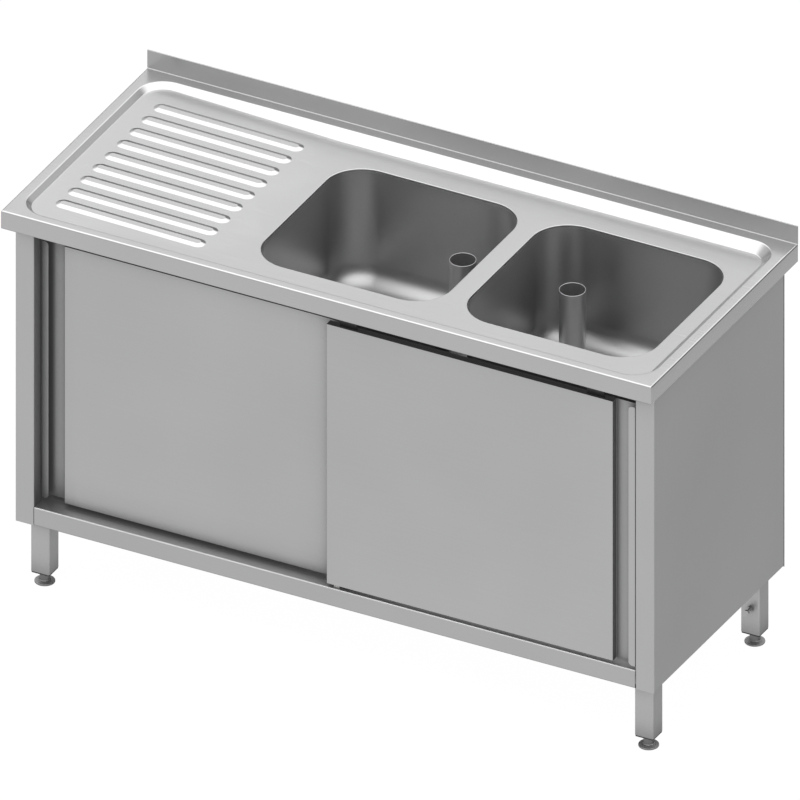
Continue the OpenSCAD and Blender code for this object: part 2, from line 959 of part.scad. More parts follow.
// Guide on the shelf at the middle of the cabinet, with a tongue in the groove under each door
module door_guide() {
    tongue = groove_w - 1;
    y = outer_y + groove_y;
    color(nylon) {
        translate([-guide_w / 2, y - tongue / 2, shelf_z])
            cube([guide_w, lane_pitch + tongue, guide_foot]);
        for (lane = [0, 1])
            translate([-guide_w / 2, y - tongue / 2 + lane * lane_pitch, shelf_z])
                cube([guide_w, tongue, door_gap + guide_up]);
    }
}

// Doors of height h, drawn from their inner end at x = 0 with the front at y = 0 and the foot at z = 0
module door_skin(h) {
    t = door_sheet;
    r = door_fold_r;
    face = door_w - pull_w;
    line = [
        [t / 2, door_t], [t / 2, t / 2], [face - t / 2, t / 2], [face - t / 2, door_t - t / 2],
        [door_w - t / 2, door_t - t / 2], [door_w - t / 2, t / 2], [door_w - lip_w, t / 2]
    ];
    fold = groove_y - groove_w / 2;
    color(steel)
        difference() {
            union() {
                folded(line, t, r, h);
                for (z = [0, h - t])
                    translate([r, t / 2, z])
                        cube([face - 2 * r, fold - t / 2, t]);
            }
            for (end = [0, 1])
                translate([door_w - lip_w, 0, end * h])
                    mirror([0, 0, end])
                        lip_corner();
        }
}

module lip_corner() {
    translate([0, door_t / 2, 0])
        rotate([90, 0, 0])
            linear_extrude(door_t)
                difference() {
                    translate([-over, -over])
                        square(lip_r + over);
                    translate([lip_r, lip_r])
                        circle(lip_r);
                }
}

module door_liner(h) {
    t = door_sheet;
    face = door_w - pull_w;
    line = [[groove_y + groove_w / 2, t / 2], [door_t - t / 2, t / 2], [door_t - t / 2, h]];
    color(satin)
        difference() {
            translate([face / 2, 0, 0])
                lengthwise(face - 2 * t)
                    folded(line, t, door_fold_r, face - 2 * t);
            at_hanger_screws(h)
                translate([0, door_t - t - over, 0])
                    rotate([-90, 0, 0])
                        cylinder(d = screw_d, h = t + 2 * over);
        }
}

module door_core(h) {
    t = door_sheet;
    color(board)
        translate([t + core_gap, t, core_up])
            cube([door_w - pull_w - 2 * (t + core_gap), door_t - 2 * t, h - core_up - hanger_down - core_down]);
}

module at_hangers() {
    for (x = [hanger_in, door_w - pull_w - hanger_in])
        translate([x, 0, 0])
            children();
}

module at_hanger_screws(h) {
    at_hangers()
        for (s = [-1, 1])
            translate([s * (hanger_w / 2 - hanger_hole_in), 0, h - hanger_hole_down])
                children();
}

module door_hangers(h, pin_z) {
    y = door_t / 2 + lane_back;
    color(dark)
        difference() {
            at_hangers() {
                translate([-hanger_w / 2, y - hanger_t / 2, h - hanger_down])
                    cube([hanger_w, hanger_t, pin_z - h + hanger_down]);
                translate([-hanger_w / 2, y - hanger_t / 2, h - hanger_down])
                    cube([hanger_w, door_t - door_sheet - y + hanger_t / 2, hanger_down - hanger_under]);
                translate([0, y + hanger_t / 2, pin_z])
                    rotate([90, 0, 0])
                        linear_extrude(hanger_t) {
                            circle(hanger_head);
                            translate([-hanger_w / 2, -hanger_head])
                                square([hanger_w, hanger_head / 2]);
                        }
            }
            at_hangers()
                translate([0, y, pin_z])
                    rotate([90, 0, 0])
                        cylinder(d = axle_d, h = 2 * hanger_t, center = true);
            at_hangers()
                for (s = [-1, 1])
                    translate([s * hanger_w / 2, y - hanger_t, pin_z])
                        rotate([-90, 0, 0])
                            cylinder(r = hanger_w / 2 - hanger_head, h = 2 * hanger_t);
            at_hanger_screws(h)
                translate([0, y - hanger_t, 0])
                    rotate([-90, 0, 0])
                        cylinder(d = screw_d, h = door_t);
        }
}

module door_screws(h) {
    y = door_t / 2 + lane_back;
    color(satin)
        at_hanger_screws(h)
            translate([0, y, 0])
                rotate([-90, 0, 0]) {
                    cylinder(d = screw_d, h = door_t - y);
                    translate([0, 0, door_t - y])
                        screw_head(screw_d);
                }
}

// Low domed head, its flat side at z = 0
module screw_head(d) {
    ball = d * 1.4;
    intersection() {
        cylinder(d = 2 * d, h = d);
        translate([0, 0, d / 2 - ball])
            sphere(ball);
    }
}

module door_axles(pin_z) {
    color(satin)
        at_hangers()
            translate([0, door_t / 2 + lane_back, pin_z])
                rotate([90, 0, 0]) {
                    cylinder(d = axle_d, h = 2 * axle_half, center = true);
                    for (s = [-1, 1])
                        translate([0, 0, s * (axle_half - axle_head_t / 2)])
                            cylinder(d = axle_head_d, h = axle_head_t, center = true);
                }
}

// A pair of nylon wheels, one at each side of the hanger plate
module roller(x, pin_z) {
    bore = axle_d / 2 + axle_play;
    r = roller_d / 2;
    color(nylon)
        translate([x, door_t / 2 + lane_back, pin_z])
            rotate([90, 0, 0])
                for (s = [0, 1])
                    mirror([0, 0, s])
                        translate([0, 0, wheel_in])
                            rotate_extrude()
                                polygon([
                                    [bore, 0], [r - rim_bevel, 0], [r, rim_bevel], [r, roller_w - rim_bevel],
                                    [r - rim_bevel, roller_w], [r - rim_w, roller_w],
                                    [r - rim_w - rim_bevel, roller_w - dish], [bore + hub_w + rim_bevel, roller_w - dish],
                                    [bore + hub_w, roller_w], [bore, roller_w]
                                ]);
}

module place_outer() {
    translate([-door_overlap / 2, outer_y, door_z])
        children();
}

module place_inner() {
    mirror([1, 0, 0])
        translate([-door_overlap / 2, inner_y, inner_z])
            children();
}

module outer_door_skin() {
    place_outer() door_skin(door_h);
}

module outer_door_liner() {
    place_outer() door_liner(door_h);
}

module outer_door_core() {
    place_outer() door_core(door_h);
}

module outer_door_hangers() {
    place_outer() door_hangers(door_h, axle_z - door_z);
}

module outer_door_axles() {
    place_outer() door_axles(axle_z - door_z);
}

module outer_door_screws() {
    place_outer() door_screws(door_h);
}

module outer_roller_a() {
    place_outer() roller(hanger_in, axle_z - door_z);
}

module outer_roller_b() {
    place_outer() roller(door_w - pull_w - hanger_in, axle_z - door_z);
}

module inner_door_skin() {
    place_inner() door_skin(inner_h);
}

module inner_door_liner() {
    place_inner() door_liner(inner_h);
}

module inner_door_core() {
    place_inner() door_core(inner_h);
}

module inner_door_hangers() {
    place_inner() door_hangers(inner_h, axle_z - inner_z);
}

module inner_door_axles() {
    place_inner() door_axles(axle_z - inner_z);
}

module inner_door_screws() {
    place_inner() door_screws(inner_h);
}

module inner_roller_a() {
    place_inner() roller(hanger_in, axle_z - inner_z);
}

module inner_roller_b() {
    place_inner() roller(door_w - pull_w - hanger_in, axle_z - inner_z);
}

// Legs: square tube with a bolted plate under the shelf
module leg_tube(h) {
    inner = leg_w - 2 * leg_wall;
    difference() {
        plate(leg_w, leg_w, 2 * leg_wall, h);
        translate([0, 0, -over])
            plate(inner, inner, leg_wall, h + over);
    }
}

module leg(sx, sy) {
    plate_z = shelf_z - body_t - leg_plate_t;
    x0 = leg_x - leg_w / 2 - leg_plate_out;
    x1 = side_x - 2 * body_t - leg_plate_gap;
    y1 = leg_y + leg_w / 2 - leg_plate_in;
    color(steel)
        difference() {
            translate([0, leg_move(sy), 0])
                mirror([sx > 0 ? 0 : 1, 0, 0])
                    mirror([0, sy > 0 ? 0 : 1, 0]) {
                        translate([leg_x, leg_y, leg_z])
                            leg_tube(plate_z - leg_z);
                        translate([x0, y1 - leg_plate_d, plate_z])
                            cube([x1 - x0, leg_plate_d, leg_plate_t]);
                    }
            at_leg_bolts()
                translate([0, 0, plate_z - over])
                    cylinder(d = bolt_d + hole_gap, h = leg_plate_t + 2 * over);
            if (sx > 0 && sy > 0)
                translate([earth_x, earth_face + leg_wall / 2, earth_z])
                    rotate([90, 0, 0])
                        cylinder(d = earth_d + 2 * thread_gap, h = 2 * leg_wall, center = true);
        }
}

module leg_front_left() {
    leg(-1, -1);
}

module leg_front_right() {
    leg(1, -1);
}

module leg_rear_left() {
    leg(-1, 1);
}

module leg_rear_right() {
    leg(1, 1);
}

// Three bolts hold each leg plate, clear of the tube
module at_leg_bolts() {
    xa = leg_x - leg_w / 2 - leg_plate_out + bolt_edge;
    xb = leg_x + leg_w / 2;
    ya = leg_y + leg_w / 2 - leg_plate_in - bolt_row;
    yb = leg_y + leg_w / 2 - leg_plate_in - leg_plate_d + bolt_edge;
    for (sx = [-1, 1], sy = [-1, 1], p = [[xa, ya], [xa, yb], [xb, yb]])
        translate([sx * p[0], sy * p[1] + leg_move(sy), 0])
            children();
}

// The heads lie flat on the shelf, under the passing doors
module leg_bolts() {
    grip = body_t + leg_plate_t;
    color(satin)
        at_leg_bolts() {
            translate([0, 0, shelf_z])
                hexagon(bolt_across, bolt_head_t);
            translate([0, 0, shelf_z - grip - bolt_nut_t - bolt_tail])
                cylinder(d = bolt_d, h = grip + bolt_nut_t + bolt_tail);
        }
}

module leg_nuts() {
    color(satin)
        at_leg_bolts()
            translate([0, 0, shelf_z - body_t - leg_plate_t - bolt_nut_t])
                difference() {
                    hexagon(bolt_across, bolt_nut_t);
                    translate([0, 0, -over])
                        cylinder(d = bolt_d + thread_gap, h = bolt_nut_t + 2 * over);
                }
}

// Plastic inserts in the foot of each leg, threaded for the stem
module insert(sx, sy) {
    inner = leg_w - 2 * leg_wall;
    color(dark)
        translate([sx * leg_x, sy * leg_y + leg_move(sy), leg_z])
            difference() {
                union() {
                    plate(inner, inner, leg_wall, insert_l);
                    translate([0, 0, -insert_t])
                        plate(leg_w - 1, leg_w - 1, 2 * leg_wall, insert_t);
                }
                translate([0, 0, -insert_t - over])
                    cylinder(d = stem_d + 2 * axle_play, h = insert_l + insert_t + 2 * over);
            }
}

module insert_front_left() {
    insert(-1, -1);
}

module insert_front_right() {
    insert(1, -1);
}

module insert_rear_left() {
    insert(-1, 1);
}

module insert_rear_right() {
    insert(1, 1);
}

// Levelling foot: a disc with a low dome, a neck and the threaded stem
module foot(sx, sy) {
    r = foot_d / 2;
    neck = stem_d / 2 + foot_neck_w;
    neck_z = leg_z - insert_t - foot_room;
    color(satin)
        translate([sx * leg_x, sy * leg_y + leg_move(sy), 0])
            rotate_extrude()
                polygon([
                    [0, 0], [r - foot_edge, 0], [r, foot_edge], [r, foot_rim - foot_edge], [r - foot_edge, foot_rim],
                    [neck + foot_edge, foot_dome - foot_edge], [neck, foot_dome],
                    [neck, neck_z], [stem_d / 2, neck_z], [stem_d / 2, leg_z + stem_l - 1],
                    [stem_d / 2 - 1, leg_z + stem_l], [0, leg_z + stem_l]
                ]);
}

module foot_front_left() {
    foot(-1, -1);
}

module foot_front_right() {
    foot(1, -1);
}

module foot_rear_left() {
    foot(-1, 1);
}

module foot_rear_right() {
    foot(1, 1);
}

// Earth bolt on the front of the rear right leg: hexagon head, shank, and a nut with its washer
module earth_bolt() {
    color(satin)
        translate([earth_x, earth_face - earth_out, earth_z])
            rotate([-90, 0, 0]) {
                hexagon(earth_across, earth_head_t);
                translate([0, 0, earth_head_t])
                    cylinder(d = earth_d, h = earth_out + earth_tail);
            }
}

module earth_nut() {
    color(satin)
        translate([earth_x, earth_face, earth_z])
            rotate([90, 0, 0]) {
                washer(earth_washer_d, earth_d + thread_gap, earth_washer_t);
                translate([0, 0, earth_washer_t])
                    difference() {
                        hexagon(earth_across, earth_head_t);
                        translate([0, 0, -over])
                            cylinder(d = earth_d + thread_gap, h = earth_head_t + 2 * over);
                    }
            }
}

worktop();
drainer_underlay();
bowl_left();
bowl_right();
drain_body_left();
drain_body_right();
drain_gaskets();
drain_nuts();
standpipe_left();
standpipe_right();
pipe_seal_left();
pipe_seal_right();
side_panel_left();
side_panel_right();
back_panel();
bottom_shelf();
shelf_stiffener();
front_top_rail();
rear_top_rail();
worktop_studs();
worktop_nuts();
door_track();
track_stops();
track_screws();
door_guide();
outer_door_skin();
outer_door_liner();
outer_door_core();
outer_door_hangers();
outer_door_axles();
outer_door_screws();
inner_door_skin();
inner_door_liner();
inner_door_core();
inner_door_hangers();
inner_door_axles();
inner_door_screws();
outer_roller_a();
outer_roller_b();
inner_roller_a();
inner_roller_b();
leg_front_left();
leg_front_right();
leg_rear_left();
leg_rear_right();
leg_bolts();
leg_nuts();
insert_front_left();
insert_front_right();
insert_rear_left();
insert_rear_right();
foot_front_left();
foot_front_right();
foot_rear_left();
foot_rear_right();
earth_bolt();
earth_nut();
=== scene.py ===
import json
import math

import bmesh
import bpy
from mathutils import Matrix, Vector


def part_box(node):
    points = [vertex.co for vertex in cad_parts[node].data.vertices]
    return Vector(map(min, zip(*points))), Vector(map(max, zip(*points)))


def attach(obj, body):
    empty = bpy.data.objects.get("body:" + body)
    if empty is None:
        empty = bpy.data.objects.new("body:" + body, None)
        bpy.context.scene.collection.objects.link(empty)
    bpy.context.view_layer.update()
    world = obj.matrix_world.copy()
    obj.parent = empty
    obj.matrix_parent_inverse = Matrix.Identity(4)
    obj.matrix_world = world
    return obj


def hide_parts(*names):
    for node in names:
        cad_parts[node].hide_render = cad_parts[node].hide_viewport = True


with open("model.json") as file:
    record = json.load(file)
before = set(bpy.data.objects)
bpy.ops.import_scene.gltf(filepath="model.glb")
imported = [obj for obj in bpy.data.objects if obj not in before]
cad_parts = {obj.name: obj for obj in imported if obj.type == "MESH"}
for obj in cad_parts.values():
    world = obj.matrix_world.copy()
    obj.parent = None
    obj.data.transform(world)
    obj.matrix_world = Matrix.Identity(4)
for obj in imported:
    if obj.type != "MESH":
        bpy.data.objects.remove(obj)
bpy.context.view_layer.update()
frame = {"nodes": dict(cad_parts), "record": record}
nodes = frame["nodes"]
print("frame loaded:", len(nodes), "nodes")

quarter = math.pi / 2
touching = 0.00001     # points closer than this are one point


# camera, room and lamp
shot = {
    "azimuth": 27.82,
    "elevation": 30.99,
    "target": (0.0589, -0.1094, 0.5449),
    "distance": 4.0,
    "frameWidth": 1.5232,
}


def setCamera():
    az, el = math.radians(shot["azimuth"]), math.radians(shot["elevation"])
    away = Vector((math.sin(az) * math.cos(el), -math.cos(az) * math.cos(el), math.sin(el)))
    data = bpy.data.cameras.new("shotCamera")
    data.type = "ORTHO"
    data.ortho_scale = shot["frameWidth"]
    data.clip_end = 60
    cam = bpy.data.objects.new("shotCamera", data)
    bpy.context.scene.collection.objects.link(cam)
    cam.location = Vector(shot["target"]) + away * shot["distance"]
    cam.rotation_euler = (-away).to_track_quat("-Z", "Y").to_euler()
    bpy.context.scene.camera = cam


def addNode(tree, kind, place=(0, 0), **values):
    node = tree.nodes.new(kind)
    node.location = place
    for name, value in values.items():
        setattr(node, name, value)
    return node


def emptyTree(owner):
    owner.use_nodes = True
    owner.node_tree.nodes.clear()
    return owner.node_tree


room = {
    # brightness that the metal sees, by the height of the direction, in front and behind
    "front": ((-1.0, 0.3), (-0.75, 0.7), (-0.62, 1.1), (-0.42, 0.98), (0.0, 0.92), (0.54, 0.93), (0.63, 2.7)),
    "back": ((-1.0, 1.1), (-0.6, 0.95), (-0.49, 0.85), (-0.43, 0.14), (-0.3, 0.08), (0.12, 0.08), (0.3, 0.86),
             (0.54, 0.88), (0.63, 2.7)),
    "brightest": 2.7,
    "turnFrom": 0.05,      # front gives way to back between these
    "turnTo": 0.45,
    "plain": 0.85,         # light on surfaces that are not metal
}


def heightRamp(tree, place, steps):
    ramp = addNode(tree, "ShaderNodeValToRGB", place)
    stops = ramp.color_ramp.elements
    stops.remove(stops[1])
    for height, glow in steps:
        share = (height + 1) / 2
        stop = stops[0] if share == 0 else stops.new(share)
        stop.position = share
        stop.color = [glow / room["brightest"]] * 3 + [1]
    return ramp


def setWorld():
    world = bpy.data.worlds.new("studio")
    bpy.context.scene.world = world
    tree = emptyTree(world)
    link = tree.links.new
    coord = addNode(tree, "ShaderNodeTexCoord", (-1400, 0))
    split = addNode(tree, "ShaderNodeSeparateXYZ", (-1200, 0))
    height = addNode(tree, "ShaderNodeMapRange", (-1000, 100))
    height.inputs["From Min"].default_value = -1.0
    turn = addNode(tree, "ShaderNodeMapRange", (-1000, -200), interpolation_type="SMOOTHSTEP")
    turn.inputs["From Min"].default_value = room["turnFrom"]
    turn.inputs["From Max"].default_value = room["turnTo"]
    front = heightRamp(tree, (-800, 150), room["front"])
    back = heightRamp(tree, (-800, -100), room["back"])
    total = addNode(tree, "ShaderNodeMix", (-500, 0), data_type="FLOAT")
    strength = addNode(tree, "ShaderNodeMath", (-300, 0), operation="MULTIPLY")
    strength.inputs[1].default_value = room["brightest"]
    seen = addNode(tree, "ShaderNodeBackground", (-100, 200))
    seen.inputs["Strength"].default_value = 1.0
    shiny = addNode(tree, "ShaderNodeBackground", (-100, 0))
    plain = addNode(tree, "ShaderNodeBackground", (-100, -200))
    plain.inputs["Strength"].default_value = room["plain"]
    path = addNode(tree, "ShaderNodeLightPath", (-600, 500))
    mixDiffuse = addNode(tree, "ShaderNodeMixShader", (150, 0))
    mixCamera = addNode(tree, "ShaderNodeMixShader", (350, 100))
    out = addNode(tree, "ShaderNodeOutputWorld", (550, 100))
    link(coord.outputs["Generated"], split.inputs[0])
    link(split.outputs["Z"], height.inputs["Value"])
    link(split.outputs["Y"], turn.inputs["Value"])
    link(height.outputs[0], front.inputs[0])
    link(height.outputs[0], back.inputs[0])
    link(turn.outputs[0], total.inputs["Factor"])
    link(front.outputs[0], total.inputs["A"])
    link(back.outputs[0], total.inputs["B"])
    link(total.outputs["Result"], strength.inputs[0])
    link(strength.outputs[0], shiny.inputs["Strength"])
    link(path.outputs["Is Diffuse Ray"], mixDiffuse.inputs[0])
    link(shiny.outputs[0], mixDiffuse.inputs[1])
    link(plain.outputs[0], mixDiffuse.inputs[2])
    link(path.outputs["Is Camera Ray"], mixCamera.inputs[0])
    link(mixDiffuse.outputs[0], mixCamera.inputs[1])
    link(seen.outputs[0], mixCamera.inputs[2])
    link(mixCamera.outputs[0], out.inputs[0])


floorLook = {
    "size": 14.0,
    "glow": 1.03,
    "glowSeen": 0.955,     # share of pure white, the rest keeps the shadow
}


def makeFloor():
    bm = bmesh.new()
    bmesh.ops.create_grid(bm, x_segments=2, y_segments=2, size=floorLook["size"] / 2)
    mesh = bpy.data.meshes.new("studioFloor")
    bm.to_mesh(mesh)
    bm.free()
    floor = bpy.data.objects.new("studioFloor", mesh)
    bpy.context.scene.collection.objects.link(floor)
    mat = bpy.data.materials.new("paleFloor")
    tree = emptyTree(mat)
    link = tree.links.new
    glow = addNode(tree, "ShaderNodeEmission", (-500, -200))
    glow.inputs["Strength"].default_value = floorLook["glow"]
    chalk = addNode(tree, "ShaderNodeBsdfDiffuse", (-500, -400))
    chalk.inputs["Color"].default_value = (0.8, 0.8, 0.8, 1)
    through = addNode(tree, "ShaderNodeBsdfTransparent", (-500, 0))
    path = addNode(tree, "ShaderNodeLightPath", (-900, 400))
    straight = addNode(tree, "ShaderNodeMath", (-650, 400), operation="MULTIPLY")
    straight.inputs[1].default_value = floorLook["glowSeen"]
    mirrored = addNode(tree, "ShaderNodeMath", (-650, 250), operation="ADD", use_clamp=True)
    mixSeen = addNode(tree, "ShaderNodeMixShader", (-200, -200))
    mixMetal = addNode(tree, "ShaderNodeMixShader", (0, 0))
    out = addNode(tree, "ShaderNodeOutputMaterial", (250, 0))
    link(path.outputs["Is Camera Ray"], straight.inputs[0])
    link(path.outputs["Is Glossy Ray"], mirrored.inputs[0])
    link(path.outputs["Is Transmission Ray"], mirrored.inputs[1])
    link(straight.outputs[0], mixSeen.inputs[0])
    link(chalk.outputs[0], mixSeen.inputs[1])
    link(glow.outputs[0], mixSeen.inputs[2])
    link(mirrored.outputs[0], mixMetal.inputs[0])
    link(mixSeen.outputs[0], mixMetal.inputs[1])
    link(through.outputs[0], mixMetal.inputs[2])
    link(mixMetal.outputs[0], out.inputs[0])
    mesh.materials.append(mat)


lamp = {
    "place": (-1.6, -2.4, 3.6),
    "aim": (0, 0, 0.7),
    "size": 1.6,
    "watts": 45,
}


def addLamp():
    data = bpy.data.lights.new("softKey", "AREA")
    data.shape = "SQUARE"
    data.size = lamp["size"]
    data.energy = lamp["watts"]
    key = bpy.data.objects.new("softKey", data)
    bpy.context.scene.collection.objects.link(key)
    place = Vector(lamp["place"])
    key.location = place
    key.rotation_euler = (Vector(lamp["aim"]) - place).to_track_quat("-Z", "Y").to_euler()
    key.visible_glossy = False


bpy.context.scene.view_settings.view_transform = "Standard"
setCamera()
setWorld()
makeFloor()
addLamp()
print("camera, room and lamp set")


# finishes
def steel(name, grain=(6, 700, 700), base=0.52, rough=0.45, spread=0.05, bump=0.02, cloud=0.03,
          hollow=0.55, deep=0.4, reach=0.1, paintedGlow=0.02):
    mat = bpy.data.materials.new(name)
    tree = emptyTree(mat)
    link = tree.links.new
    coord = addNode(tree, "ShaderNodeTexCoord", (-1400, 0))
    stretch = addNode(tree, "ShaderNodeMapping", (-1200, 0))
    stretch.inputs["Scale"].default_value = grain
    fine = addNode(tree, "ShaderNodeTexNoise", (-1000, 0))
    fine.inputs["Scale"].default_value = 1.0
    fine.inputs["Detail"].default_value = 4.0
    fine.inputs["Roughness"].default_value = 0.65
    soft = addNode(tree, "ShaderNodeTexNoise", (-1000, -300))
    soft.inputs["Scale"].default_value = 2.6
    soft.inputs["Detail"].default_value = 2.0
    shade = addNode(tree, "ShaderNodeMapRange", (-750, 200))
    shade.inputs["To Min"].default_value = -spread * base
    shade.inputs["To Max"].default_value = spread * base
    drift = addNode(tree, "ShaderNodeMapRange", (-750, -50))
    drift.inputs["From Min"].default_value = 0.3
    drift.inputs["From Max"].default_value = 0.7
    drift.inputs["To Min"].default_value = base - cloud * base
    drift.inputs["To Max"].default_value = base + cloud * base
    level = addNode(tree, "ShaderNodeMath", (-550, 100), operation="ADD")
    # painted shade: the base colour darkens in gaps and hollows, where less light gets in
    nearby = addNode(tree, "ShaderNodeAmbientOcclusion", (-750, 450), samples=8)
    nearby.inputs["Distance"].default_value = reach
    shaded = addNode(tree, "ShaderNodeMapRange", (-550, 350))
    shaded.inputs["From Min"].default_value = deep
    shaded.inputs["From Max"].default_value = 0.9
    shaded.inputs["To Min"].default_value = hollow
    toned = addNode(tree, "ShaderNodeMath", (-400, 200), operation="MULTIPLY")
    tint = addNode(tree, "ShaderNodeCombineColor", (-350, 100))
    cool = addNode(tree, "ShaderNodeMath", (-450, -50), operation="MULTIPLY")
    cool.inputs[1].default_value = 1.005     # a trace of blue
    roughness = addNode(tree, "ShaderNodeMapRange", (-550, -200))
    roughness.inputs["To Min"].default_value = rough - 0.04
    roughness.inputs["To Max"].default_value = rough + 0.04
    bumps = addNode(tree, "ShaderNodeBump", (-350, -350))
    bumps.inputs["Strength"].default_value = bump
    bumps.inputs["Distance"].default_value = 0.0004
    shader = addNode(tree, "ShaderNodeBsdfPrincipled", (-50, 0))
    shader.inputs["Metallic"].default_value = 1.0
    shader.inputs["Emission Color"].default_value = (1, 1, 1, 1)
    shader.inputs["Emission Strength"].default_value = paintedGlow     # painted light: a weak glow that keeps the deepest gaps from going black
    out = addNode(tree, "ShaderNodeOutputMaterial", (250, 0))
    link(coord.outputs["Object"], stretch.inputs[0])
    link(stretch.outputs[0], fine.inputs["Vector"])
    link(coord.outputs["Object"], soft.inputs["Vector"])
    link(fine.outputs[0], shade.inputs["Value"])
    link(soft.outputs[0], drift.inputs["Value"])
    link(shade.outputs[0], level.inputs[0])
    link(drift.outputs[0], level.inputs[1])
    link(nearby.outputs["AO"], shaded.inputs["Value"])
    link(level.outputs[0], toned.inputs[0])
    link(shaded.outputs[0], toned.inputs[1])
    link(toned.outputs[0], tint.inputs[0])
    link(toned.outputs[0], tint.inputs[1])
    link(toned.outputs[0], cool.inputs[0])
    link(cool.outputs[0], tint.inputs[2])
    link(tint.outputs[0], shader.inputs["Base Color"])
    link(fine.outputs[0], roughness.inputs["Value"])
    link(roughness.outputs[0], shader.inputs["Roughness"])
    link(fine.outputs[0], bumps.inputs["Height"])
    link(bumps.outputs[0], shader.inputs["Normal"])
    link(shader.outputs[0], out.inputs[0])
    return mat


def moulded(name, colour, rough=0.5, speckle=0.06, grain=260.0, bump=0.15):
    mat = bpy.data.materials.new(name)
    tree = emptyTree(mat)
    link = tree.links.new
    coord = addNode(tree, "ShaderNodeTexCoord", (-1200, 0))
    noise = addNode(tree, "ShaderNodeTexNoise", (-1000, 0))
    noise.inputs["Scale"].default_value = grain
    noise.inputs["Detail"].default_value = 3.0
    ramp = addNode(tree, "ShaderNodeValToRGB", (-700, 100))
    ramp.color_ramp.elements[0].position = 0.3
    ramp.color_ramp.elements[1].position = 0.7
    ramp.color_ramp.elements[0].color = [c * (1 - speckle) for c in colour] + [1]
    ramp.color_ramp.elements[1].color = [min(1, c * (1 + speckle)) for c in colour] + [1]
    roughness = addNode(tree, "ShaderNodeMapRange", (-700, -200))
    roughness.inputs["To Min"].default_value = rough - 0.08
    roughness.inputs["To Max"].default_value = rough + 0.08
    bumps = addNode(tree, "ShaderNodeBump", (-400, -300))
    bumps.inputs["Strength"].default_value = bump
    bumps.inputs["Distance"].default_value = 0.0003
    shader = addNode(tree, "ShaderNodeBsdfPrincipled", (-50, 0))
    out = addNode(tree, "ShaderNodeOutputMaterial", (250, 0))
    link(coord.outputs["Object"], noise.inputs["Vector"])
    link(noise.outputs[0], ramp.inputs[0])
    link(ramp.outputs[0], shader.inputs["Base Color"])
    link(noise.outputs[0], roughness.inputs["Value"])
    link(roughness.outputs[0], shader.inputs["Roughness"])
    link(noise.outputs[0], bumps.inputs["Height"])
    link(bumps.outputs[0], shader.inputs["Normal"])
    link(shader.outputs[0], out.inputs[0])
    return mat


finishes = {
    "topSheet": steel("topSheet", grain=(5, 800, 800), rough=0.26, spread=0.025, bump=0.01, hollow=1.0),
    # painted shade for the far side of each drainer bead
    "beadPaintedShade": steel("beadPaintedShade", grain=(5, 800, 800), base=0.24, rough=0.26, spread=0.025, bump=0.01,
                       hollow=1.0, paintedGlow=0.01),
    # painted shade: the upstand takes a darker copy of the top's steel
    "upstandSheet": steel("upstandSheet", grain=(5, 800, 800), base=0.44, rough=0.3, spread=0.03, hollow=1.0),
    "sheetLong": steel("sheetBrushedLong", grain=(5, 800, 800)),
    # deeper painted shade in the gaps and recesses of the uprights and doors
    "sheetUpright": steel("sheetBrushedUpright", grain=(800, 800, 5), base=0.535, hollow=0.35, deep=0.5),
    "doorSheet": steel("doorSheet", grain=(5, 800, 800), base=0.54, hollow=0.3, deep=0.5, reach=0.08),
    # painted shade: the hangers in the gap above the doors take a very dark copy of the steel
    "hangerSteel": steel("hangerSteel", grain=(300, 300, 300), base=0.15, rough=0.5, hollow=0.25, deep=0.6,
                         paintedGlow=0.01),
    # painted shade down inside the bowls, with less painted glow
    "bowlSatin": steel("bowlSatin", grain=(160, 160, 160), base=0.53, rough=0.37, spread=0.03, bump=0.015,
                       hollow=0.62, reach=0.25, paintedGlow=0.004),
    "pipeSatin": steel("pipeSatin", grain=(40, 40, 900), base=0.46, rough=0.4, spread=0.04, hollow=1.0, paintedGlow=0.01),
    "turned": steel("turnedSteel", grain=(40, 40, 900), base=0.46, rough=0.42, spread=0.04, bump=0.01),
    "footSteel": steel("footSteel", grain=(60, 60, 60), base=0.34, rough=0.55, spread=0.03, bump=0.01),
    "hardware": steel("hardwareSteel", grain=(300, 300, 300), base=0.46, rough=0.34, spread=0.10, cloud=0.06),
    "zinc": steel("zincPlate", grain=(90, 90, 90), base=0.38, rough=0.42, spread=0.14, cloud=0.10, bump=0.05),
    "nylon": moulded("nylon", (0.74, 0.74, 0.72), rough=0.42, speckle=0.03),
    "blackPlastic": moulded("blackPlastic", (0.028, 0.028, 0.03), rough=0.45, speckle=0.15),
    "sealRubber": moulded("sealRubber", (0.035, 0.035, 0.037), rough=0.65, speckle=0.2, grain=500.0),
    "board": moulded("pressedBoard", (0.36, 0.28, 0.19), rough=0.8, speckle=0.35, grain=420.0, bump=0.5),
}
slotFinish = {
    "brushed_panel": "sheetLong",
    "bowl_steel": "bowlSatin",
    "hardware_steel": "hardware",
    "zinc_steel": "zinc",
    "foot_steel": "footSteel",
    "white_nylon": "nylon",
    "black_plastic": "blackPlastic",
    "rubber_seal": "sealRubber",
    "board": "board",
}
uprightNodes = ("leg_", "side_panel")
doorNodes = ("outer_door_skin", "inner_door_skin")
hangerNodes = ("outer_door_hangers", "inner_door_hangers")
slotOfNode = {s["node"]: s["material_slot"] for s in frame["record"]["subparts"]}
for name, node in nodes.items():
    look = slotFinish[slotOfNode[name]]
    if name.startswith(uprightNodes) and look == "sheetLong":
        look = "sheetUpright"
    if name in doorNodes:
        look = "doorSheet"
    if name in hangerNodes:
        look = "hangerSteel"
    node.data.materials.clear()
    node.data.materials.append(finishes[look])
print("finishes on", len(nodes), "nodes")


